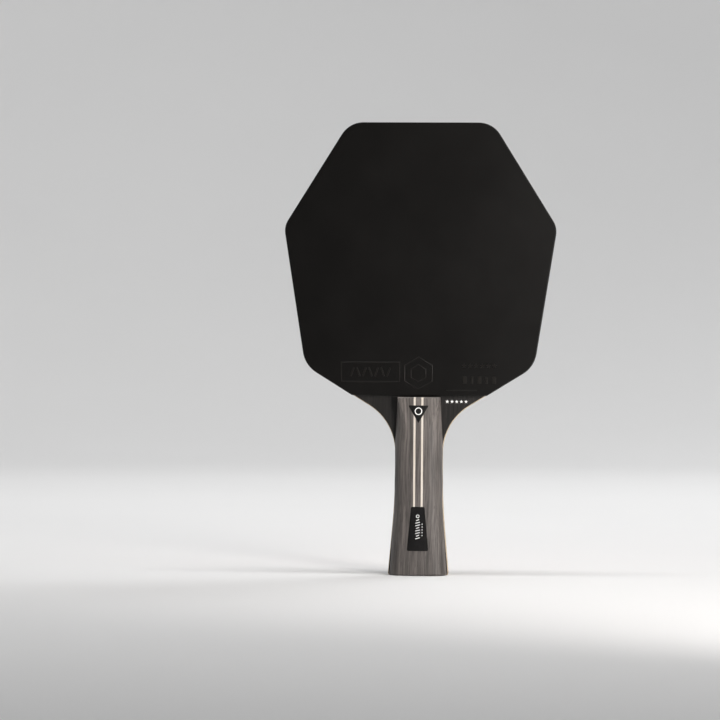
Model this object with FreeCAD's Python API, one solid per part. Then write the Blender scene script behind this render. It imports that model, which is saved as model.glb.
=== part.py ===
"""Table tennis paddle: a seven-layer blade, a sponge and topsheet on each side, edge tape, flared handle.

Frame: X across the paddle, +Y away from the front face, Z up along the handle towards the head. The origin
is the centre of the handle's butt. Units are millimetres. Every node is written to parts/NODE.step.
"""

import math
import os

import FreeCAD
import Part
from FreeCAD import Vector

# Overall
BLADE_LENGTH = 254.0
HANDLE_LENGTH = 100.0

# Blade outline: corners of the straight-sided shape before rounding, as (half width, height)
TOP_CORNER = (40.2, BLADE_LENGTH)
SIDE_CORNER = (76.5, 195.5)
LOWER_CORNER = (64.2, 117.5)
TOP_RADIUS = 14.0
SIDE_RADIUS = 11.0
LOWER_RADIUS = 16.0
SHOULDER_ANGLE = 31.8  # degrees below the horizontal, from the lower corner in to the neck
NECK_RADIUS = 31.0

# Handle outline: half widths
BUTT_HALF = 17.1
WAIST_HALF = 13.4
SCALE_TOP_HALF = 12.0
FLARE_START = 57.0  # height where the waist begins to flare
FLARE_STRAIGHT = 28.0  # height where the flare has become straight
SCALE_TAPER_START = 74.0  # height where the scales begin to narrow towards the head
BUTT_ROUNDING = 1.2
BLADE_STEP = 0.9  # how far the blade stands out from between the scales at the butt

# Layers of the blade from the middle out
CORE_THICKNESS = 3.1
INNER_PLY_THICKNESS = 0.6
CARBON_THICKNESS = 0.2
VENEER_THICKNESS = 0.6

# Rubber
SPONGE_THICKNESS = 2.1
TOPSHEET_THICKNESS = 1.7
RUBBER_GAP = 0.9  # between the handle's end and the rubber's straight lower edge
TAPE_THICKNESS = 0.25
TAPE_WIDTH = 10.0  # covers the edges of the blade and both sponges

# Handle scales
SCALE_THICKNESS = 8.6
BUTT_SWELL = 0.5  # extra thickness of each scale at the butt
ROUNDING = 8.0  # radius along a scale's long edges
CROWN_RADIUS = 90.0  # of the slightly domed front
CREASE_GROWTH = 0.39  # how fast the rounding spreads inwards, in mm for each mm below the head end
CREASE_START = 0.1  # width of the rounding at the head end
TOP_CHAMFER = 0.7

# Inlays
STRIP_WIDTH = 1.15
STRIP_SPACING = 4.3
STRIP_DEPTH = 1.0
BADGE_SIDE = 11.4
BADGE_TOP = 95.4
BADGE_CORNER = 0.25
BADGE_DEPTH = 0.6
LABEL_TOP = 38.7
LABEL_HEIGHT = 24.7
LABEL_TOP_HALF = 3.75
LABEL_BOTTOM_HALF = 6.0
LABEL_CORNER = 0.9
LABEL_DEPTH = 0.5
PLATE_PROUD = 0.2  # badge and label stand this far out of the wood

# Worked out from the above
BLADE_HALF = CORE_THICKNESS / 2 + INNER_PLY_THICKNESS + CARBON_THICKNESS + VENEER_THICKNESS
RUBBER_BOTTOM = HANDLE_LENGTH + RUBBER_GAP
FAR = 2 * BLADE_LENGTH  # size of cutting blocks


def flare_half_width(height):
    """Half width of the handle below the neck: straight at the butt, then easing into the waist."""
    slope = (BUTT_HALF - WAIST_HALF) / (FLARE_STRAIGHT + (FLARE_START - FLARE_STRAIGHT) / 2)
    if height >= FLARE_START:
        return WAIST_HALF
    if height >= FLARE_STRAIGHT:
        easing = (FLARE_START - height) ** 2 / (2 * (FLARE_START - FLARE_STRAIGHT))
        return WAIST_HALF + slope * easing
    return BUTT_HALF - slope * height


def scale_half_width(height):
    """Half width of a scale: the blade's, narrower towards the head and by a small step at the butt."""
    taper = max(0.0, height - SCALE_TAPER_START) / (HANDLE_LENGTH - SCALE_TAPER_START)
    step = max(0.0, 1 - height / FLARE_START) * BLADE_STEP
    return flare_half_width(height) - step - taper * (WAIST_HALF - SCALE_TOP_HALF)


def rounded(corners, radii, start, end):
    """Edges from start to end past the corners, each rounded by an arc of its radius, in the XZ plane."""
    edges = []
    here = start
    for i, (corner, radius) in enumerate(zip(corners, radii)):
        following = corners[i + 1] if i + 1 < len(corners) else end
        back = (here - corner).normalize()
        onward = (following - corner).normalize()
        half_angle = back.getAngle(onward) / 2
        reach = radius / math.tan(half_angle)
        arc_start = corner + back * reach
        arc_end = corner + onward * reach
        bisector = (back + onward).normalize()
        middle = corner + bisector * (radius / math.sin(half_angle) - radius)
        edges.append(Part.LineSegment(here, arc_start).toShape())
        edges.append(Part.Arc(arc_start, middle, arc_end).toShape())
        here = arc_end
    edges.append(Part.LineSegment(here, end).toShape())
    return edges


def flare_curve(side):
    """The curved stretch of the handle's side, where the straight flare eases into the waist."""
    def at(height):
        return Vector(side * flare_half_width(height), 0, height)

    steps = 6
    span = FLARE_START - FLARE_STRAIGHT
    curve = Part.BSplineCurve()
    curve.interpolate(
        Points=[at(FLARE_STRAIGHT + span * i / steps) for i in range(steps + 1)],
        InitialTangent=at(FLARE_STRAIGHT) - at(FLARE_STRAIGHT - span),
        FinalTangent=Vector(0, 0, span),
    )
    return curve.toShape()


def blade_side(side):
    """One side of the blade's outline, from the middle of the butt to the middle of the head's top edge."""
    def at(corner):
        return Vector(side * corner[0], 0, corner[1])

    flare_foot = at((flare_half_width(FLARE_STRAIGHT), FLARE_STRAIGHT))
    butt = rounded([at((BUTT_HALF, 0))], [BUTT_ROUNDING], Vector(0, 0, 0), flare_foot)
    shoulder_drop = (LOWER_CORNER[0] - WAIST_HALF) * math.tan(math.radians(SHOULDER_ANGLE))
    neck_corner = (WAIST_HALF, LOWER_CORNER[1] - shoulder_drop)
    corners = [at(corner) for corner in (neck_corner, LOWER_CORNER, SIDE_CORNER, TOP_CORNER)]
    radii = (NECK_RADIUS, LOWER_RADIUS, SIDE_RADIUS, TOP_RADIUS)
    head = rounded(corners, radii, at((WAIST_HALF, FLARE_START)), Vector(0, 0, BLADE_LENGTH))
    return butt + [flare_curve(side)] + head


def blade_outline():
    """The closed outline that all seven layers of the blade share."""
    return Part.Wire(Part.__sortEdges__(blade_side(1) + blade_side(-1)))


def slab(outline, inner, outer):
    """The outline as a flat layer in front of the middle plane, from inner to outer millimetres away."""
    face = Part.Face(outline)
    face.translate(Vector(0, -outer, 0))
    return face.extrude(Vector(0, outer - inner, 0))


def above(height):
    """A block that holds everything above a height."""
    return Part.makeBox(2 * FAR, 2 * FAR, FAR, Vector(-FAR, -FAR, height))


def scale_section(height, offset=0.0, lowered=0.0):
    """A scale's section at a height: flat back, short sides, rounded long edges and a slightly domed front.

    Towards the head the rounding stops short of the front and leaves a crease. The offset moves the whole
    outline outwards, and lowered takes that much off the front alone.
    """
    radius = ROUNDING + offset
    crown = CROWN_RADIUS + offset
    half = scale_half_width(height) + offset
    swell = BUTT_SWELL * max(0.0, 1 - height / FLARE_START)
    front = BLADE_HALF + SCALE_THICKNESS + swell + offset - lowered
    width = CREASE_START + CREASE_GROWTH * (HANDLE_LENGTH - height)
    tangent = math.acos((half - radius) / (crown - radius))
    turn = min(tangent, math.acos(max(0.0, 1 - width / ROUNDING)))

    crease = half - radius * (1 - math.cos(turn))
    shoulder = front - crown + math.sqrt(crown**2 - crease**2)
    side = shoulder - radius * math.sin(turn)

    def at(x, out):
        return Vector(x, -out, height)

    def edge_rounding(hand):
        bend_x = half - radius * (1 - math.cos(turn / 2))
        bend_out = side + radius * math.sin(turn / 2)
        return Part.Arc(at(hand * half, side), at(hand * bend_x, bend_out), at(hand * crease, shoulder))

    edges = [
        Part.LineSegment(at(-half, BLADE_HALF), at(half, BLADE_HALF)),
        Part.LineSegment(at(half, BLADE_HALF), at(half, side)),
        edge_rounding(1),
        Part.Arc(at(crease, shoulder), at(0, front), at(-crease, shoulder)),
        edge_rounding(-1),
        Part.LineSegment(at(-half, side), at(-half, BLADE_HALF)),
    ]
    return Part.Wire([edge.toShape() for edge in edges])


def scale_body(offset=0.0):
    """The front scale's solid before anything is let into it, with its outer surface moved out by offset."""
    chamfer_foot = HANDLE_LENGTH - TOP_CHAMFER
    waist_up = (FLARE_START, 68, 76, 80, 85, 90, 95, chamfer_foot)
    heights = (BUTT_ROUNDING, 14, FLARE_STRAIGHT, 43) + waist_up
    sections = [scale_section(height, offset) for height in heights]
    body = Part.makeLoft(sections, True, False)
    foot_sections = []
    for degrees in (0, 22.5, 45, 67.5, 90):
        turn = math.radians(degrees)
        inset = BUTT_ROUNDING * (1 - math.sin(turn))
        foot_sections.append(scale_section(BUTT_ROUNDING * (1 - math.cos(turn)), offset - inset))
    foot = Part.makeLoft(foot_sections, True, True)
    head_end = scale_section(HANDLE_LENGTH, offset, TOP_CHAMFER)
    head = Part.makeLoft([scale_section(chamfer_foot, offset), head_end], True, True)
    return body.fuse([foot, head]).removeSplitter()


def column(outline):
    """An outline drawn in the XZ plane, carried through the front scale along Y."""
    face = Part.Face(outline)
    face.translate(Vector(0, -FAR, 0))
    return face.extrude(Vector(0, FAR, 0))


def rounded_polygon(points, radius):
    """A closed outline with every corner rounded by the same radius."""
    start = (points[0] + points[-1]) / 2
    edges = rounded(points, [radius] * len(points), start, start)
    return Part.Wire(Part.__sortEdges__(edges))


def badge_outline():
    """An equal-sided triangle that points down at the butt."""
    half = BADGE_SIDE / 2
    tip = BADGE_TOP - BADGE_SIDE * math.sin(math.radians(60))
    corners = [Vector(-half, 0, BADGE_TOP), Vector(0, 0, tip), Vector(half, 0, BADGE_TOP)]
    return rounded_polygon(corners, BADGE_CORNER)


def label_outline():
    """A plate that widens towards the butt."""
    bottom = LABEL_TOP - LABEL_HEIGHT
    corners = [
        Vector(-LABEL_TOP_HALF, 0, LABEL_TOP),
        Vector(-LABEL_BOTTOM_HALF, 0, bottom),
        Vector(LABEL_BOTTOM_HALF, 0, bottom),
        Vector(LABEL_TOP_HALF, 0, LABEL_TOP),
    ]
    return rounded_polygon(corners, LABEL_CORNER)


def strip_outline(side):
    """One inlaid strip, from under the label up to the head end of the handle."""
    left = side * STRIP_SPACING / 2 - STRIP_WIDTH / 2
    foot = LABEL_TOP - 2 * LABEL_CORNER
    top = HANDLE_LENGTH + 1
    corners = [
        Vector(left, 0, foot),
        Vector(left + STRIP_WIDTH, 0, foot),
        Vector(left + STRIP_WIDTH, 0, top),
        Vector(left, 0, top),
    ]
    return Part.makePolygon(corners + corners[:1])


def front_handle():
    """The front scale with its two strips, badge and label, each let into its own pocket."""
    body = scale_body()
    plate_skin = scale_body(PLATE_PROUD)

    def pocket(outline, depth):
        return column(outline).cut(scale_body(-depth))

    badge_pocket = pocket(badge_outline(), BADGE_DEPTH)
    label_pocket = pocket(label_outline(), LABEL_DEPTH)
    strips = {}
    for name, side in (("left", -1), ("right", 1)):
        groove = pocket(strip_outline(side), STRIP_DEPTH)
        strips[f"front_{name}_strip"] = body.common(groove).cut(badge_pocket).cut(label_pocket)
        body = body.cut(groove)
    return {
        "front_handle_scale": body.cut(badge_pocket).cut(label_pocket),
        **strips,
        "front_badge": plate_skin.common(badge_pocket),
        "front_label": plate_skin.common(label_pocket),
    }


def front_blade_and_rubber():
    """The layers in front of the core, from the inside out."""
    outline = blade_outline()
    layers = (
        ("front_inner_ply", INNER_PLY_THICKNESS),
        ("front_carbon_layer", CARBON_THICKNESS),
        ("front_outer_veneer", VENEER_THICKNESS),
        ("front_sponge", SPONGE_THICKNESS),
        ("front_topsheet", TOPSHEET_THICKNESS),
    )
    made = {}
    inner = CORE_THICKNESS / 2
    for name, thickness in layers:
        layer = slab(outline, inner, inner + thickness)
        if name in ("front_sponge", "front_topsheet"):
            layer = layer.common(above(RUBBER_BOTTOM))
        made[name] = layer
        inner += thickness
    return made


def edge_tape():
    """Tape stuck round the head's edge, from one end of the rubber's lower edge to the other."""
    outline = blade_outline()
    half = TAPE_WIDTH / 2
    band = slab(outline.makeOffset2D(TAPE_THICKNESS), -half, half).cut(slab(outline, -half, half))
    return band.common(above(RUBBER_BOTTOM))


def mirrored(nodes):
    """The same nodes on the rear face."""
    return {
        name.replace("front", "rear"): shape.mirror(Vector(0, 0, 0), Vector(0, 1, 0))
        for name, shape in nodes.items()
    }


def main():
    front = {**front_blade_and_rubber(), **front_handle()}
    core = slab(blade_outline(), -CORE_THICKNESS / 2, CORE_THICKNESS / 2)
    os.makedirs("parts", exist_ok=True)
    for name, shape in {"core_ply": core, "edge_tape": edge_tape(), **front, **mirrored(front)}.items():
        solids = shape.Solids
        if not solids or not all(solid.isValid() for solid in solids):
            raise ValueError(f"{name} isn't a valid solid")
        Part.makeCompound(solids).exportStep(f"parts/{name}.step")
        box = shape.BoundBox
        print(f"{name}: {len(solids)} solid(s), {shape.Volume:.1f} mm3, {box}")


main()
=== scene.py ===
"""Looks of a table tennis paddle: rubber, foam, stained wood, carbon and print, on a pale stage.

Everything is in metres. X runs across the paddle, Y from its front to its rear, and Z up from the butt.
"""

import math

import bmesh
import bpy
from mathutils import Matrix, Vector
from mathutils.bvhtree import BVHTree
from mathutils.geometry import intersect_point_line


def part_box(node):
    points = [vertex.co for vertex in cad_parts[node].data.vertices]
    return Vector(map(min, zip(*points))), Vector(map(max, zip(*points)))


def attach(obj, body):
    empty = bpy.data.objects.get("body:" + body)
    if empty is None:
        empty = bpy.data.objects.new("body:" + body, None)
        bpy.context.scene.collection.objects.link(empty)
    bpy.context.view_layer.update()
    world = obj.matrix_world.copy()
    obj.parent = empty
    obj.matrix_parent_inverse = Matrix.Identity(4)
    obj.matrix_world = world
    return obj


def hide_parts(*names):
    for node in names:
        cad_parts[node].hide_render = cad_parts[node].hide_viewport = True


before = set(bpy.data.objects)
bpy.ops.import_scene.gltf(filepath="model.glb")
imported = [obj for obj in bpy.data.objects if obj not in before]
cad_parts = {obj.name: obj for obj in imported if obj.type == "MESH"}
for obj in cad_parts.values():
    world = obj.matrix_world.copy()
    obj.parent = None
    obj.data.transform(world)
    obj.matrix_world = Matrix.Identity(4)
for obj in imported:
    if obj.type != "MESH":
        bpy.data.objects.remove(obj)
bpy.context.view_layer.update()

MM = 0.001
WELD = 0.001 * MM
SHARP_ANGLE = math.radians(40)
ROUNDING_STEPS = 4
SIDES = {"front": -1, "rear": 1}
RUBBER_COLOURS = {"front": "black", "rear": "red"}
WARM = (1.0, 0.95, 0.91)

# Camera: where it stands as seen from the paddle, and how far the paddle is from the middle of its view
CAMERA_AZIMUTH = math.radians(2.5)
CAMERA_DISTANCE = 1.74
CAMERA_HEIGHT = 0.1206
CAMERA_FIELD = math.radians(13.29)
CAMERA_ASIDE = math.radians(1.108)
CAMERA_ROLL = math.radians(0.42)

# Stage: a round floor whose wall curves up all around it
STAGE_RADIUS = 3.6
STAGE_BEND = 1.8
STAGE_HEIGHT = 3.2
STAGE_BEND_STEPS = 24
STAGE_TURN_STEPS = 96

# Rubber: a thin sheet over a field of pips, with moulded marks above the handle
SHEET_THICKNESS = 0.8 * MM
SHEET_ROUNDING = 0.4 * MM
PIP_RADIUS = 0.8 * MM
PIP_SPACING = 2.15 * MM
PIP_BAND = 7 * MM
PIP_CORNERS = 8
PIP_SINK = 0.05 * MM  # into the sheet above it
MARK_HEIGHT = 0.22 * MM
MARK_SINK = 0.3 * MM
# The third tone of each rubber is for dust specks and for the painted highlight on the moulded marks
RUBBER_TONES = {
    "black": ((0.0022, 0.0020, 0.0018, 1), (0.0040, 0.0036, 0.0032, 1), (0.015, 0.0135, 0.012, 1)),
    "red": ((0.30, 0.012, 0.010, 1), (0.40, 0.020, 0.016, 1), (0.48, 0.04, 0.03, 1)),
}

# Foam: the cut edge is pulled in where it is glued
SPONGE_PULL = 0.12 * MM
SPONGE_STEPS = 6

# Wood: dark and light tones of the grain, and the pores' tone
WOOD_TONES = {
    "scale_wood": ((0.041, 0.0365, 0.0336, 1), (0.132, 0.117, 0.109, 1), (0.018, 0.0155, 0.0143, 1)),
    "strip_wood": ((0.545, 0.485, 0.41, 1), (0.72, 0.67, 0.61, 1), (0.36, 0.29, 0.215, 1)),
    "core_wood": ((0.36, 0.27, 0.17, 1), (0.60, 0.50, 0.36, 1), (0.20, 0.13, 0.07, 1)),
    "inner_wood": ((0.28, 0.20, 0.12, 1), (0.46, 0.36, 0.24, 1), (0.15, 0.10, 0.05, 1)),
    "black_veneer": ((0.007, 0.0067, 0.0064, 1), (0.0205, 0.0187, 0.0174, 1), (0.003, 0.003, 0.003, 1)),
}
WOOD_STREAK = 0.9 * MM

# Edges of the thin wooden, taped and inlaid pieces, and the fine texture of tape and cloth
VENEER_ROUNDING = 0.55 * MM
INLAY_ROUNDING = 0.12 * MM
TAPE_ROUNDING = 0.1 * MM
TAPE_RIB_SPACING = 0.1974 * MM
CARBON_THREAD_SPACING = 0.4488 * MM

# Plastic of the badge and the label: plain and scuffed tones
PLASTIC_TONES = (0.0045, 0.0042, 0.0042, 1), (0.009, 0.0085, 0.0085, 1)

# Print on the blade, the badge and the label
PRINT_HEIGHT = 0.04 * MM
PRINT_SINK = 0.1 * MM
PRINT_SLOPE = 0.03 * MM
STAR_COUNT = 5
STAR_SPACING = 2.63 * MM
STAR_RADIUS = 1.08 * MM
STAR_WAIST = 0.42  # inner corners' reach as a part of the points' reach
FIRST_STAR = Vector((15.8, 97.6)) * MM
BADGE_RING_RADIUS = 2.1 * MM
BADGE_RING_LINE = 0.5 * MM
BADGE_RING_DROP = 3.2 * MM


# ---------------------------------------------------------------- camera, stage and lights

def make_camera():
    """The camera stands a little to the right of the paddle's front and looks past its left side."""
    data = bpy.data.cameras.new("camera")
    data.angle = CAMERA_FIELD
    data.clip_start = 0.05
    data.clip_end = 50
    camera = bpy.data.objects.new("camera", data)
    place = Vector((math.sin(CAMERA_AZIMUTH), -math.cos(CAMERA_AZIMUTH), 0)) * CAMERA_DISTANCE
    place.z = CAMERA_HEIGHT
    heading = CAMERA_AZIMUTH + CAMERA_ASIDE
    turn = Matrix.Rotation(heading, 4, "Z") @ Matrix.Rotation(math.pi / 2, 4, "X")
    camera.matrix_world = Matrix.Translation(place) @ turn @ Matrix.Rotation(CAMERA_ROLL, 4, "Z")
    bpy.context.scene.collection.objects.link(camera)
    bpy.context.scene.camera = camera


def make_stage():
    """A round pale floor, and a pale wall that curves up all around it."""
    flat = STAGE_RADIUS - STAGE_BEND
    profile = [(flat, 0.0)]
    for i in range(1, STAGE_BEND_STEPS + 1):
        turn = math.pi / 2 * i / STAGE_BEND_STEPS
        profile.append((flat + STAGE_BEND * math.sin(turn), STAGE_BEND * (1 - math.cos(turn))))
    profile.append((STAGE_RADIUS, STAGE_HEIGHT))
    shape = bmesh.new()
    rings = []
    for distance, z in profile:
        ring = []
        for i in range(STAGE_TURN_STEPS):
            turn = 2 * math.pi * i / STAGE_TURN_STEPS
            ring.append(shape.verts.new((distance * math.sin(turn), distance * math.cos(turn), z)))
        rings.append(ring)
    shape.faces.new(rings[0])
    join_rings(shape, rings)
    floor = finish_piece("floor", shape, floor_paint(), smooth=True)


def soft_light(name, place, target, size, power, spread=180, colour=(1, 1, 1)):
    """A rectangular light that looks at a point. A small spread keeps its light off the rest of the stage."""
    data = bpy.data.lights.new(name, "AREA")
    data.shape = "RECTANGLE"
    data.size, data.size_y = size
    data.energy = power
    data.spread = math.radians(spread)
    data.color = colour
    light = bpy.data.objects.new(name, data)
    light.visible_camera = False
    turn = (Vector(target) - Vector(place)).to_track_quat("-Z", "Y").to_matrix().to_4x4()
    light.matrix_world = Matrix.Translation(place) @ turn
    bpy.context.scene.collection.objects.link(light)


def make_lights():
    """A key and a side light at the right, a weak fill at the left, and three lights from above.

    The last three light the paddle's rear, the floor and the wall behind."""
    world = bpy.data.worlds.new("studio")
    world.use_nodes = True
    background = world.node_tree.nodes["Background"]
    background.inputs["Color"].default_value = (0.92, 0.96, 1.0, 1)
    background.inputs["Strength"].default_value = 0.02
    bpy.context.scene.world = world
    soft_light("key", (0.3, -0.52, 0.2), (0.05, 0, 0.15), (0.14, 0.45), 0.92, 90, WARM)
    soft_light("side", (1.0, -0.6, 0.3), (0, 0, 0.14), (0.5, 0.5), 1.0, 80, WARM)
    soft_light("fill", (-1.2, -0.7, 0.6), (0, 0, 0.13), (0.8, 0.8), 0.2)
    soft_light("rear", (1.1, 1.3, 1.6), (0, 0, 0.13), (1.2, 1.2), 15)
    soft_light("top", (0, 0, 2.6), (0, 0, 0), (2.0, 2.0), 12)
    soft_light("backdrop", (0, -0.2, 2.4), (0, 3.6, 0.9), (2.4, 0.8), 55)
    bpy.context.scene.view_settings.view_transform = "Standard"


# ---------------------------------------------------------------- shapes

def cap_outline(node):
    """The closed outline of a flat CAD layer: (x, z) points, anticlockwise as seen from the front."""
    shape = bmesh.new()
    shape.from_mesh(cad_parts[node].data)
    bmesh.ops.remove_doubles(shape, verts=shape.verts, dist=WELD)
    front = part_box(node)[0].y + WELD
    cap = {face for face in shape.faces if all(vert.co.y < front for vert in face.verts)}
    following = {}
    for face in cap:
        for loop in face.loops:
            if loop.link_loop_radial_next.face not in cap:
                following[loop.vert] = loop.link_loop_next.vert
    start = min(following, key=lambda vert: (vert.co.z, vert.co.x))
    points = [Vector((start.co.x, start.co.z))]
    vert = following[start]
    while vert is not start:
        points.append(Vector((vert.co.x, vert.co.z)))
        vert = following[vert]
    shape.free()
    return points


def inset(points, distance):
    """The outline moved inwards by a distance, with its corners kept sharp."""
    moved = []
    for i, point in enumerate(points):
        before = (point - points[i - 1]).normalized()
        after = (points[(i + 1) % len(points)] - point).normalized()
        inward = Vector((-before.y - after.y, before.x + after.x))
        moved.append(point + inward * distance / (1 + before.dot(after)))
    return moved


def join_rings(shape, rings, around=False):
    """Faces between each ring of points and the next one, and back to the first one if they go around."""
    pairs = list(zip(rings, rings[1:]))
    if around:
        pairs.append((rings[-1], rings[0]))
    for ring, other in pairs:
        for i in range(len(ring)):
            shape.faces.new((ring[i - 1], ring[i], other[i], other[i - 1]))


def add_shell(shape, rings, around=False):
    """A closed shell over rings of (x, y, z) points: capped at both ends, or going around."""
    made = [[shape.verts.new(point) for point in ring] for ring in rings]
    join_rings(shape, made, around)
    if not around:
        shape.faces.new(made[0])
        shape.faces.new(made[-1])


def planes(node, out):
    """The Y of a flat CAD layer's inner and outer faces, on the side that faces out."""
    low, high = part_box(node)
    return (high.y, low.y) if out < 0 else (low.y, high.y)


def level(points, y):
    """An outline as a ring of points at one Y."""
    return [Vector((point.x, y, point.y)) for point in points]


def add_plate(shape, outline, inner, outer, rounding):
    """A flat layer from an inner to an outer plane, with a rounded edge around its outer face."""
    out = math.copysign(1, outer)
    rings = [level(outline, inner), level(outline, outer - out * rounding)]
    for i in range(1, ROUNDING_STEPS + 1):
        turn = math.pi / 2 * i / ROUNDING_STEPS
        drop = rounding * (1 - math.sin(turn))
        rings.append(level(inset(outline, rounding * (1 - math.cos(turn))), outer - out * drop))
    add_shell(shape, rings)


def finish_piece(name, shape, material, smooth=False):
    """Turns a bmesh into an object with a material. Smooth faces keep their sharp edges."""
    bmesh.ops.recalc_face_normals(shape, faces=shape.faces)
    mesh = bpy.data.meshes.new(name)
    shape.to_mesh(mesh)
    shape.free()
    mesh.materials.append(material)
    piece = bpy.data.objects.new(name, mesh)
    bpy.context.scene.collection.objects.link(piece)
    if smooth:
        mesh.shade_smooth()
        mesh.set_sharp_from_angle(angle=SHARP_ANGLE)
        weigh_normals(piece)
    return piece


def weigh_normals(piece):
    """Large faces stay flat beside small rounded ones."""
    modifier = piece.modifiers.new("normals", "WEIGHTED_NORMAL")
    modifier.keep_sharp = True


def circle(centre, radius, corners, start=0.0):
    """Points of a regular polygon, anticlockwise."""
    points = []
    for i in range(corners):
        turn = start + 2 * math.pi * i / corners
        points.append(centre + radius * Vector((math.cos(turn), math.sin(turn))))
    return points


def star(centre, radius):
    """A plain five-pointed star with one point up."""
    points = []
    for i in range(10):
        turn = math.pi / 2 + math.pi * i / 5
        reach = radius if i % 2 == 0 else radius * STAR_WAIST
        points.append(centre + reach * Vector((math.cos(turn), math.sin(turn))))
    return points


def bar(start, end, width):
    """A plain rectangle along a line from start to end."""
    along = (end - start).normalized()
    aside = Vector((along.y, -along.x)) * width / 2
    return [start + aside, end + aside, end - aside, start - aside]


def anticlockwise(points):
    """The outline in the order that insets need, whichever way round it was drawn."""
    area = sum(points[i - 1].cross(points[i]) for i in range(len(points)))
    return points if area > 0 else points[::-1]


def add_mark(shape, points, surface, out, height, sink, slope):
    """A raised mark that fills an outline, with sloping sides. surface gives Y at a point."""
    points = anticlockwise(points)
    rings = []
    for aside, rise in ((0, -sink), (0, 0), (0.5 * slope, 0.75 * height), (slope, height)):
        rings.append([Vector((p.x, surface(p) + out * rise, p.y)) for p in inset(points, aside)])
    add_shell(shape, rings)


def add_ridge(shape, points, width, surface, out, height, sink):
    """A raised rounded line along a closed outline."""
    points = anticlockwise(points)
    section = [(0, -sink), (0, 0), (0.2, 0.7 * height), (0.4, height)]
    section += [(1 - aside, rise) for aside, rise in section[::-1]]
    rings = []
    for aside, rise in section:
        rings.append([Vector((p.x, surface(p) + out * rise, p.y)) for p in inset(points, aside * width)])
    add_shell(shape, rings, around=True)


# ---------------------------------------------------------------- materials

class Finish:
    """A material in the making. Each call adds a node and gives back its output."""

    def __init__(self, name, roughness=0.5, specular=0.5):
        self.material = bpy.data.materials.new(name)
        self.material.use_nodes = True
        self.tree = self.material.node_tree
        self.shader = self.tree.nodes["Principled BSDF"]
        self.shader.inputs["Roughness"].default_value = roughness
        self.shader.inputs["Specular IOR Level"].default_value = specular
        self.coordinates = self.add("TexCoord")
        self.place = self.coordinates.outputs["Object"]

    def add(self, kind, values=None, **settings):
        node = self.tree.nodes.new("ShaderNode" + kind)
        for key, value in settings.items():
            setattr(node, key, value)
        for key, value in (values or {}).items():
            self.feed(node.inputs[key], value)
        return node

    def feed(self, socket, value):
        if isinstance(value, bpy.types.NodeSocket):
            self.tree.links.new(value, socket)
        else:
            socket.default_value = value

    def sized(self, x, y, z):
        """The place on the object, counted in steps of the given sizes."""
        scale = (1 / x, 1 / y, 1 / z)
        return self.add("Mapping", {"Vector": self.place, "Scale": scale}).outputs["Vector"]

    def noise(self, vector, scale=1.0, detail=2.0, roughness=0.5, distortion=0.0):
        values = {"Vector": vector, "Scale": scale, "Detail": detail, "Roughness": roughness}
        return self.add("TexNoise", {**values, "Distortion": distortion}).outputs[0]

    def math(self, operation, first, second=0.0):
        node = self.add("Math", operation=operation)
        self.feed(node.inputs[0], first)
        self.feed(node.inputs[1], second)
        return node.outputs[0]

    def between(self, value, low, high, to_low=0.0, to_high=1.0):
        """Turns low to high into to_low to to_high, and stops at the ends."""
        values = {"Value": value, "From Min": low, "From Max": high, "To Min": to_low, "To Max": to_high}
        return self.add("MapRange", values).outputs[0]

    def mix(self, factor, first, second):
        """A colour between two colours."""
        node = self.add("Mix", data_type="RGBA")
        self.feed(node.inputs[0], factor)
        self.feed(node.inputs[6], first)
        self.feed(node.inputs[7], second)
        return node.outputs[2]

    def axis(self, output, name):
        return self.add("SeparateXYZ", {"Vector": output}).outputs[name]

    def scaled(self, colour, factor):
        return self.add("VectorMath", {0: colour, "Scale": factor}, operation="SCALE").outputs[0]

    def finish(self, colour, roughness=None, bumps=()):
        """Joins the shader's inputs. bumps are (height, depth) pairs, from the deepest to the finest."""
        self.feed(self.shader.inputs["Base Color"], colour)
        if roughness is not None:
            self.feed(self.shader.inputs["Roughness"], roughness)
        normal = None
        for height, depth in bumps:
            node = self.add("Bump", {"Height": height, "Distance": depth, "Strength": 1.0})
            if normal is not None:
                self.feed(node.inputs["Normal"], normal)
            normal = node.outputs["Normal"]
        if normal is not None:
            self.feed(self.shader.inputs["Normal"], normal)
        return self.material


def wave_scale(spacing):
    """The Wave texture's scale that repeats at a spacing: its bands turn by 20 radians for each unit."""
    return 2 * math.pi / (20 * spacing)


def grey(value):
    """A colour with no hue."""
    return (value, value, value, 1.0)


def floor_paint():
    """Pale matt paint with a faint roller texture."""
    paint = Finish("floor_paint", roughness=0.85, specular=0.2)
    mottle = paint.noise(paint.sized(0.35, 0.35, 0.35), detail=3)
    colour = paint.mix(mottle, (0.80, 0.80, 0.80, 1), (0.83, 0.83, 0.83, 1))
    grain = paint.noise(paint.sized(1.5 * MM, 1.5 * MM, 1.5 * MM))
    return paint.finish(colour, bumps=[(grain, 0.05 * MM)])


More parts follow.
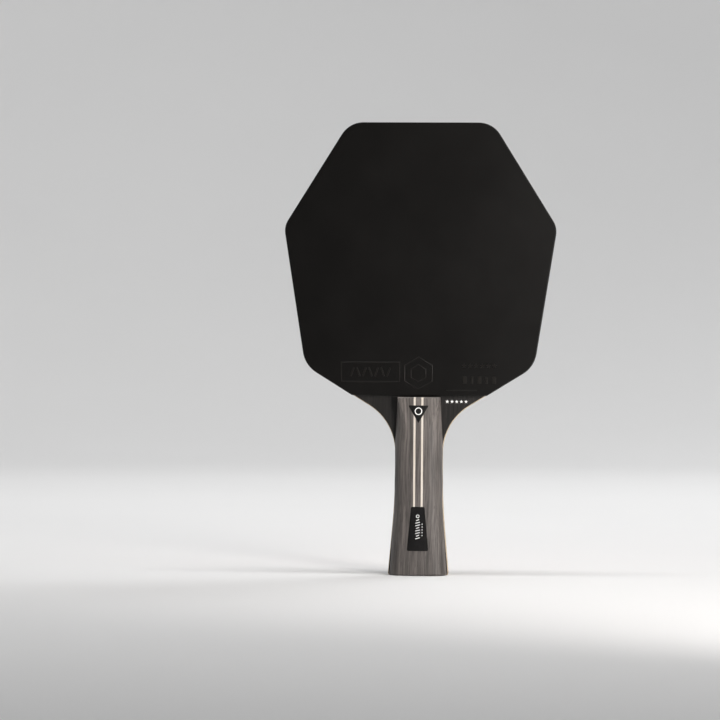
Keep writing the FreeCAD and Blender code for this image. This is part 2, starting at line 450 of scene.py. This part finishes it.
def rubber(name, dark, light, rubbed, top_plane):
    """Satin rubber: the pips print through faintly, dust specks lighten it a little, and a painted highlight
    makes the moulded marks lighter.
    """
    skin = Finish(name, specular=0.15)
    smudges = skin.noise(skin.sized(22 * MM, 22 * MM, 30 * MM), detail=4, roughness=0.6)
    dust = skin.noise(skin.sized(0.35 * MM, 0.35 * MM, 0.35 * MM), detail=1)
    specks = skin.between(dust, 0.66, 0.78)
    across = skin.axis(skin.place, "X")
    up = skin.axis(skin.place, "Z")
    waves = []
    for turn in (0.0, math.pi / 3, -math.pi / 3):
        step = 2 * math.pi / (PIP_SPACING * math.cos(math.pi / 6))
        x_part = skin.math("MULTIPLY", across, step * math.cos(turn + math.pi / 2))
        z_part = skin.math("MULTIPLY", up, step * math.sin(turn + math.pi / 2))
        waves.append(skin.math("COSINE", skin.math("ADD", x_part, z_part)))
    pips = skin.math("ADD", waves[0], skin.math("ADD", waves[1], waves[2]))
    depth = skin.math("ABSOLUTE", skin.axis(skin.place, "Y"))
    raised_mark_highlight = skin.between(depth, top_plane + 0.4 * MARK_HEIGHT, top_plane + MARK_HEIGHT)
    colour = skin.mix(smudges, dark, light)
    colour = skin.mix(skin.math("MULTIPLY", specks, 0.15), colour, rubbed)
    # Painted highlight: the raised marks are mixed towards the lightest tone
    colour = skin.mix(skin.math("MULTIPLY", raised_mark_highlight, 0.7), colour, rubbed)
    worn = skin.between(smudges, 0.3, 0.7, 0.34, 0.40)
    roughness = skin.math("SUBTRACT", worn, skin.math("MULTIPLY", raised_mark_highlight, 0.08))
    texture = skin.noise(skin.sized(0.12 * MM, 0.12 * MM, 0.12 * MM))
    return skin.finish(colour, roughness, [(pips, 0.0006 * MM), (texture, 0.004 * MM)])


def foam(name, dark, light):
    """Sponge cut with a knife: open cells of a few sizes."""
    cells = Finish(name, roughness=0.9, specular=0.2)
    big = cells.add("TexVoronoi", {"Vector": cells.sized(0.45 * MM, 0.45 * MM, 0.45 * MM), "Scale": 1.0})
    small = cells.add("TexVoronoi", {"Vector": cells.sized(0.2 * MM, 0.2 * MM, 0.2 * MM), "Scale": 1.0})
    wall = cells.between(big.outputs["Distance"], 0.1, 0.6)
    fine = cells.between(small.outputs["Distance"], 0.1, 0.6)
    colour = cells.mix(cells.math("MULTIPLY", wall, fine), dark, light)
    return cells.finish(colour, bumps=[(wall, 0.10 * MM), (fine, 0.05 * MM)])


def wood(name, dark, light, pore, roughness=0.5, fibre=0.3 * MM, specular=0.4, pores=0.5):
    """Wood with its grain along Z: wide soft streaks, fine fibres and short dark pores."""
    grain = Finish(name, specular=specular)
    wander = grain.noise(grain.sized(30 * MM, 30 * MM, 60 * MM), detail=1)
    shift = grain.math("MULTIPLY", grain.math("SUBTRACT", wander, 0.5), 6 * MM)
    bent = grain.add("CombineXYZ", {"X": shift})
    place = grain.add("VectorMath", {0: grain.place, 1: bent.outputs[0]}, operation="ADD").outputs[0]
    straight = grain.place
    grain.place = place
    broad = grain.noise(grain.sized(4 * WOOD_STREAK, 4 * WOOD_STREAK, 90 * MM), detail=2)
    streaks = grain.noise(grain.sized(WOOD_STREAK, WOOD_STREAK, 24 * MM), detail=3, roughness=0.55)
    fibres = grain.noise(grain.sized(fibre, fibre, 8 * MM), detail=3, roughness=0.6)
    dashes = grain.noise(grain.sized(0.42 * MM, 0.42 * MM, 4.5 * MM), detail=1)
    grain.place = straight
    tone = grain.math("ADD", grain.math("MULTIPLY", broad, 0.25), grain.math("MULTIPLY", streaks, 0.5))
    tone = grain.math("ADD", tone, grain.math("MULTIPLY", fibres, 0.25))
    tone = grain.between(tone, 0.39, 0.61)
    holes = grain.between(dashes, 0.64, 0.72)
    colour = grain.mix(tone, dark, light)
    colour = grain.mix(grain.math("MULTIPLY", holes, pores), colour, pore)
    shine = grain.between(fibres, 0.3, 0.7, roughness - 0.06, roughness + 0.08)
    depth = grain.math("SUBTRACT", fibres, grain.math("MULTIPLY", holes, 0.8))
    return grain, colour, shine, [(depth, 0.025 * MM)]


def bare_wood(name, **settings):
    """Wood with no stain, in the tones kept under its name."""
    grain, colour, shine, bumps = wood(name, *WOOD_TONES[name], **settings)
    return grain.finish(colour, shine, bumps)


def stained_scale():
    """Grey-stained open-pored wood. Painted light makes it lighter towards the head, and painted shade makes
    it darker at the butt.
    """
    grain, colour, shine, bumps = wood("scale_wood", *WOOD_TONES["scale_wood"])
    height = grain.axis(grain.place, "Z")
    # Painted light raises the colour towards the head, and painted shade lowers it near the butt
    painted_head_light = grain.between(height, 66 * MM, 92 * MM, 1.0, 1.4)
    painted_butt_shade = grain.between(height, 0.0, 25 * MM, 0.9, 1.0)
    colour = grain.scaled(colour, grain.math("MULTIPLY", painted_head_light, painted_butt_shade))
    return grain.finish(colour, shine, bumps)


def stained_veneer():
    """Black-stained veneer, sanded through to the pale wood where its edge is rounded."""
    tones = WOOD_TONES["black_veneer"]
    grain, stain, shine, bumps = wood("black_veneer", *tones, roughness=0.42, fibre=0.22 * MM, specular=0.23)
    facing = grain.math("ABSOLUTE", grain.axis(grain.coordinates.outputs["Normal"], "Y"))
    ragged = grain.noise(grain.sized(0.5 * MM, 0.5 * MM, 3 * MM), detail=3)
    edge = grain.math("ADD", facing, grain.math("MULTIPLY", grain.math("SUBTRACT", ragged, 0.5), 0.12))
    raw = grain.between(edge, 0.89, 0.955, 1.0, 0.0)
    fibres = grain.noise(grain.sized(0.3 * MM, 0.3 * MM, 8 * MM), detail=3)
    pale = grain.mix(fibres, (0.34, 0.27, 0.19, 1), (0.56, 0.47, 0.35, 1))
    return grain.finish(grain.mix(raw, stain, pale), shine, bumps)


def carbon():
    """Edges of woven carbon in resin: dark threads with a slight shine."""
    weave = Finish("carbon_cloth", roughness=0.35, specular=0.6)
    scale = wave_scale(CARBON_THREAD_SPACING)
    threads = weave.add("TexWave", {"Vector": weave.place, "Scale": scale, "Distortion": 0.4})
    height = threads.outputs[1]
    colour = weave.mix(height, (0.006, 0.006, 0.007, 1), (0.03, 0.03, 0.032, 1))
    return weave.finish(colour, weave.between(height, 0, 1, 0.3, 0.5), [(height, 0.02 * MM)])


def plastic(name, roughness, specular):
    """Moulded black plastic with a fine grain, faint scuffs and a few hairline scratches."""
    skin = Finish(name, specular=specular)
    scuffs = skin.noise(skin.sized(2.5 * MM, 2.5 * MM, 4 * MM), detail=5, roughness=0.65)
    grain = skin.noise(skin.sized(0.16 * MM, 0.16 * MM, 0.16 * MM), detail=1)
    hairs = skin.noise(skin.sized(0.9 * MM, 0.9 * MM, 12 * MM), detail=4, distortion=0.6)
    lines = skin.between(skin.math("ABSOLUTE", skin.math("SUBTRACT", hairs, 0.5)), 0.0, 0.006, 1.0, 0.0)
    colour = skin.mix(skin.between(scuffs, 0.45, 0.75), *PLASTIC_TONES)
    worn = skin.between(scuffs, 0.3, 0.7, roughness - 0.05, roughness + 0.12)
    worn = skin.math("ADD", worn, skin.math("MULTIPLY", lines, 0.1))
    return skin.finish(colour, worn, [(grain, 0.012 * MM), (lines, -0.006 * MM)])


def tape():
    """Black edge tape: satin cloth-like film with lengthwise ribs and rubbed patches."""
    film = Finish("edge_tape_film", specular=0.45)
    scale = wave_scale(TAPE_RIB_SPACING)
    ribs = film.add("TexWave", {"Vector": film.place, "Scale": scale}, bands_direction="Y")
    rubbed = film.noise(film.sized(6 * MM, 6 * MM, 6 * MM), detail=4, roughness=0.6)
    colour = film.mix(film.between(rubbed, 0.45, 0.75), (0.016, 0.0155, 0.015, 1), (0.045, 0.042, 0.04, 1))
    return film.finish(colour, film.between(rubbed, 0.3, 0.7, 0.34, 0.5), [(ribs.outputs[1], 0.012 * MM)])


def white_print():
    """White screen print, thin enough for the ground to grin through in places."""
    ink = Finish("white_print", specular=0.4)
    thin = ink.noise(ink.sized(0.5 * MM, 0.5 * MM, 0.5 * MM), detail=3)
    colour = ink.mix(ink.between(thin, 0.6, 0.8), (0.86, 0.86, 0.85, 1), (0.5, 0.5, 0.5, 1))
    return ink.finish(colour, ink.between(thin, 0.3, 0.7, 0.4, 0.55), [(thin, 0.01 * MM)])


# ---------------------------------------------------------------- pieces

def mount(piece, nodes=()):
    """Every piece rides on the paddle's one body, and may stand for CAD nodes."""
    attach(piece, "root")
    if nodes:
        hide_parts(*nodes)


def nearest_on(outline, point):
    """The outline's nearest point, and whether the point lies inside it."""
    best, best_distance, inside = None, math.inf, False
    for i, end in enumerate(outline):
        start = outline[i - 1]
        spot, along = intersect_point_line(point, start, end)
        spot = start.lerp(end, min(max(along, 0.0), 1.0))
        distance = (point - spot.to_2d()).length
        if distance < best_distance:
            best, best_distance = spot.to_2d(), distance
        if (start.y > point.y) != (end.y > point.y):
            if point.x < start.x + (end.x - start.x) * (point.y - start.y) / (end.y - start.y):
                inside = not inside
    return best, best_distance, inside


def add_pips(shape, outline, sponge_plane, sheet_plane):
    """The rows of pips that show along the rubber's edge. Those on the edge are cut through by it."""
    low = Vector((min(p.x for p in outline), min(p.y for p in outline)))
    high = Vector((max(p.x for p in outline), max(p.y for p in outline)))
    row_step = PIP_SPACING * math.cos(math.pi / 6)
    rows = math.ceil((high.y - low.y) / row_step) + 1
    columns = math.ceil((high.x - low.x) / PIP_SPACING) + 1
    for row in range(rows):
        for column in range(columns):
            shift = 0.5 * (row % 2)
            centre = low + Vector(((column + shift) * PIP_SPACING, row * row_step))
            spot, distance, inside = nearest_on(outline, centre)
            if not inside or not 0.2 * PIP_RADIUS < distance < PIP_BAND:
                continue
            ring = circle(centre, PIP_RADIUS, PIP_CORNERS)
            if distance < PIP_RADIUS:
                for i, point in enumerate(ring):
                    edge, _, kept = nearest_on(outline, point)
                    ring[i] = point if kept else edge
            add_shell(shape, [level(ring, sponge_plane), level(ring, sheet_plane)])


def add_rubber_marks(shape, foot, outer, out):
    """Plain moulded marks above the handle: a framed row of bars, two hexagons, and rows of stars and bars.

    Places are in millimetres from the middle of the rubber's foot, and read the same from either side."""
    def place(x, z):
        return Vector((-out * x * MM, foot + z * MM))

    def surface(point):
        return outer

    def patch(points, slope=0.2 * MM):
        add_mark(shape, points, surface, out, MARK_HEIGHT, MARK_SINK, slope)

    def line(points, width):
        add_ridge(shape, points, width, surface, out, MARK_HEIGHT, MARK_SINK)

    line([place(-44.2, 7.2), place(-10.7, 7.2), place(-10.7, 18.9), place(-44.2, 18.9)], 0.8 * MM)
    for i in range(7):
        lean = 0.9 if i % 2 == 0 else -0.9
        middle = -37.6 + 3.4 * i
        patch(bar(place(middle - lean, 10.6), place(middle + lean, 15.6), 0.95 * MM))
    line(circle(place(-0.5, 12.5), 9.4 * MM, 6, math.pi / 6), 0.8 * MM)
    line(circle(place(-0.5, 12.5), 5.2 * MM, 6, math.pi / 6), 0.7 * MM)
    for i in range(6):
        patch(star(place(25.2 + 3.4 * i, 16.9), 1.5 * MM), 0.12 * MM)
    for i in range(5):
        middle = 25.6 + 4.1 * i
        width = 2.2 if i % 2 == 0 else 1.2
        patch(bar(place(middle, 6.9), place(middle, 10.9), width * MM))
    patch(bar(place(15.3, 3.1), place(32.5, 3.1), 0.6 * MM))


def make_rubber(side):
    """The topsheet: a thin sheet with its moulded marks, on pips that stand on the sponge."""
    node = side + "_topsheet"
    out = SIDES[side]
    inner, outer = planes(node, out)
    outline = cap_outline(node)
    under = outer - out * SHEET_THICKNESS
    shape = bmesh.new()
    add_plate(shape, outline, under, outer, SHEET_ROUNDING)
    add_pips(shape, outline, inner, under + out * PIP_SINK)
    add_rubber_marks(shape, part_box(node)[0].z, outer, out)
    colour = RUBBER_COLOURS[side]
    material = rubber(colour + "_rubber", *RUBBER_TONES[colour], abs(outer))
    piece = finish_piece(side + "_rubber", shape, material, smooth=True)
    mount(piece, [node])


def make_sponge(side, material):
    """The foam under the topsheet: its cut edge bulges a little between the blade and the rubber."""
    node = side + "_sponge"
    out = SIDES[side]
    inner, outer = planes(node, out)
    outline = cap_outline(node)
    rings = []
    for i in range(SPONGE_STEPS + 1):
        part = i / SPONGE_STEPS
        pulled = SPONGE_PULL * (2 * part - 1) ** 2
        rings.append(level(inset(outline, pulled), inner + (outer - inner) * part))
    shape = bmesh.new()
    add_shell(shape, rings)
    piece = finish_piece(side + "_foam", shape, material, smooth=True)
    mount(piece, [node])


def make_veneer(side, material):
    """The stained outer ply, with its edge sanded round."""
    node = side + "_outer_veneer"
    inner, outer = planes(node, SIDES[side])
    shape = bmesh.new()
    add_plate(shape, cap_outline(node), inner, outer, VENEER_ROUNDING)
    piece = finish_piece(side + "_veneer", shape, material, smooth=True)
    mount(piece, [node])


def surface_of(node, out):
    """A function that gives the Y of a CAD node's outer surface at an (x, z) point."""
    shape = bmesh.new()
    shape.from_mesh(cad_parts[node].data)
    tree = BVHTree.FromBMesh(shape)
    shape.free()

    def surface(point):
        start = Vector((point.x, out * 0.1, point.y))
        return tree.ray_cast(start, Vector((0, -out, 0)))[0].y

    return surface


def add_print(shape, outlines, surface, out):
    """Thin raised print: each outline is a filled mark."""
    for outline in outlines:
        add_mark(shape, outline, surface, out, PRINT_HEIGHT, PRINT_SINK, PRINT_SLOPE)


def add_print_ring(shape, centre, radius, width, corners, surface, out):
    """A thin raised printed ring."""
    add_ridge(shape, circle(centre, radius, corners), width, surface, out, PRINT_HEIGHT, PRINT_SINK)


def make_stars(material):
    """A row of small plain stars on the front of the blade, right of the handle."""
    centres = [FIRST_STAR + Vector((STAR_SPACING * i, 0)) for i in range(STAR_COUNT)]
    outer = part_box("front_outer_veneer")[0].y
    shape = bmesh.new()
    add_print(shape, [star(centre, STAR_RADIUS) for centre in centres], lambda point: outer, SIDES["front"])
    mount(finish_piece("wing_stars", shape, material))


def make_badge_ring(side, material):
    """A plain white ring in the middle of the triangular badge."""
    node = side + "_badge"
    out = SIDES[side]
    centre = Vector((0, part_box(node)[1].z - BADGE_RING_DROP))
    shape = bmesh.new()
    add_print_ring(shape, centre, BADGE_RING_RADIUS, BADGE_RING_LINE, 48, surface_of(node, out), out)
    mount(finish_piece(side + "_badge_ring", shape, material, smooth=True))


def make_label_print(side, material):
    """Plain print on the label: a small ring, a column of slanted bars and five dots beside it.

    Places are in millimetres from the middle of the label's upper end, and drop is measured downwards."""
    node = side + "_label"
    out = SIDES[side]
    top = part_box(node)[1].z

    def place(x, drop):
        return Vector((-out * x * MM, top - drop * MM))

    outlines = []
    for i in range(8):
        half = 1.25 if i % 3 else 0.8
        drop = 7.4 + 1.45 * i
        outlines.append(bar(place(-half, drop + 0.35), place(half, drop - 0.35), 0.4 * MM))
    for i in range(5):
        outlines.append(circle(place(2.5, 9.6 + 1.6 * i), 0.3 * MM, 12))
    surface = surface_of(node, out)
    shape = bmesh.new()
    add_print(shape, outlines, surface, out)
    add_print_ring(shape, place(0, 5.3), 0.95 * MM, 0.3 * MM, 24, surface, out)
    mount(finish_piece(side + "_label_print", shape, material))


def dress(node, material, rounding=0.0):
    """Gives a CAD node its material, and softens its sharp edges."""
    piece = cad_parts[node]
    piece.material_slots[0].material = material
    if rounding:
        weld = piece.modifiers.new("weld", "WELD")
        weld.merge_threshold = WELD
        bevel = piece.modifiers.new("rounding", "BEVEL")
        bevel.width = rounding
        bevel.segments = 2
        bevel.limit_method = "ANGLE"
        bevel.angle_limit = SHARP_ANGLE
        weigh_normals(piece)


def make_paddle():
    """Every CAD node gets its material, and the detailed pieces are made around them."""
    scale_wood = stained_scale()
    strip_wood = bare_wood("strip_wood", pores=0.25)
    core_wood = bare_wood("core_wood", roughness=0.6)
    inner_wood = bare_wood("inner_wood", roughness=0.6)
    badge_plastic = plastic("badge_plastic", roughness=0.28, specular=0.25)
    label_plastic = plastic("label_plastic", roughness=0.40, specular=0.14)
    veneer = stained_veneer()
    cloth = carbon()
    sponge = foam("black_foam", grey(0.004), grey(0.02))
    ink = white_print()
    dress("core_ply", core_wood)
    dress("edge_tape", tape(), TAPE_ROUNDING)
    for side in SIDES:
        dress(side + "_inner_ply", inner_wood)
        dress(side + "_carbon_layer", cloth)
        dress(side + "_handle_scale", scale_wood)
        dress(side + "_left_strip", strip_wood, INLAY_ROUNDING)
        dress(side + "_right_strip", strip_wood, INLAY_ROUNDING)
        dress(side + "_badge", badge_plastic, INLAY_ROUNDING)
        dress(side + "_label", label_plastic, INLAY_ROUNDING)
        make_veneer(side, veneer)
        make_sponge(side, sponge)
        make_rubber(side)
        make_badge_ring(side, ink)
        make_label_print(side, ink)
    make_stars(ink)


make_camera()
make_stage()
make_lights()
make_paddle()
